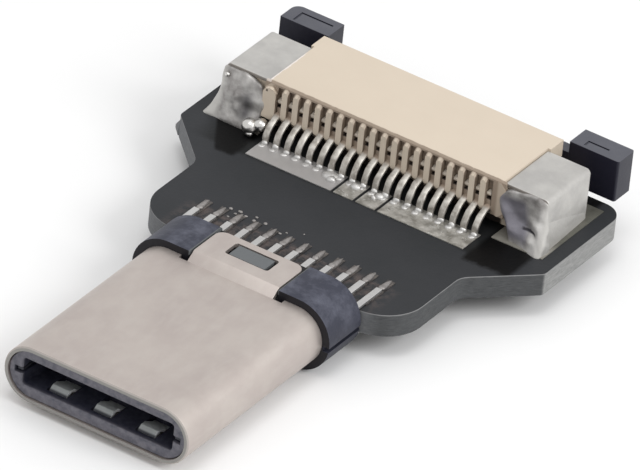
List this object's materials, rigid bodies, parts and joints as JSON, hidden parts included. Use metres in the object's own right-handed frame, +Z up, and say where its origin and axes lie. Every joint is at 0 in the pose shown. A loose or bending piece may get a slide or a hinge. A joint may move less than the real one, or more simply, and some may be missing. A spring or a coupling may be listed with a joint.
{
  "type": "usb-c plug",
  "caption": "USB-C plug on a small flared adapter board with a fine-pitch ribbon connector, held by soldered brackets and closed by a pull-out locking slider.",
  "frame": {"origin": "centre of the plug's mouth", "axes": "+Y from the mouth along the plug towards the ribbon connector, +Z up out of the board's component side, +X across the plug"},
  "size_m": [0.017, 0.0246, 0.0043],
  "materials": {
    "plug_nickel": "matt nickel plate",
    "collar_plastic": "smooth moulded, blue-grey",
    "insulator_plastic": "satin moulded, near black",
    "plug_contact_metal": "tin plate",
    "spring_steel": "plain spring sheet",
    "board_mask": "semi-gloss black solder mask",
    "pad_tin": "tinned copper",
    "solder": "bright solder",
    "ribbon_contact_tin": "tin plate",
    "housing_plastic": "smooth moulded, warm ivory",
    "slider_plastic": "smooth moulded, blue-grey",
    "bracket_tin": "matt tin plate"
  },
  "bodies": {
    "adapter": {"shell": "plug_nickel", "collar": "collar_plastic", "nose": "insulator_plastic", "upper_carrier": "insulator_plastic", "lower_carrier": "insulator_plastic", "upper_contacts": "plug_contact_metal", "lower_contacts": "plug_contact_metal", "upper_ground_spring": "spring_steel", "lower_ground_spring": "spring_steel", "latch_plate": "spring_steel", "board": "board_mask", "upper_plug_pads": "pad_tin", "lower_plug_pads": "pad_tin", "upper_plug_solder": "solder", "lower_plug_solder": "solder", "ribbon_pads": "pad_tin", "ribbon_solder": "solder", "ribbon_contacts": "ribbon_contact_tin", "ribbon_housing": "housing_plastic", "left_bracket": "bracket_tin", "right_bracket": "bracket_tin", "left_bracket_pad": "pad_tin", "right_bracket_pad": "pad_tin", "left_bracket_solder": "solder", "right_bracket_solder": "solder"},
    "slider": {"slider": "slider_plastic"}
  },
  "joints": [
    {"name": "ribbon_lock", "type": "slide", "parent": "adapter", "child": "slider", "axis": [0, 1, 0], "range_m": [-0.00115, 0]}
  ]
}
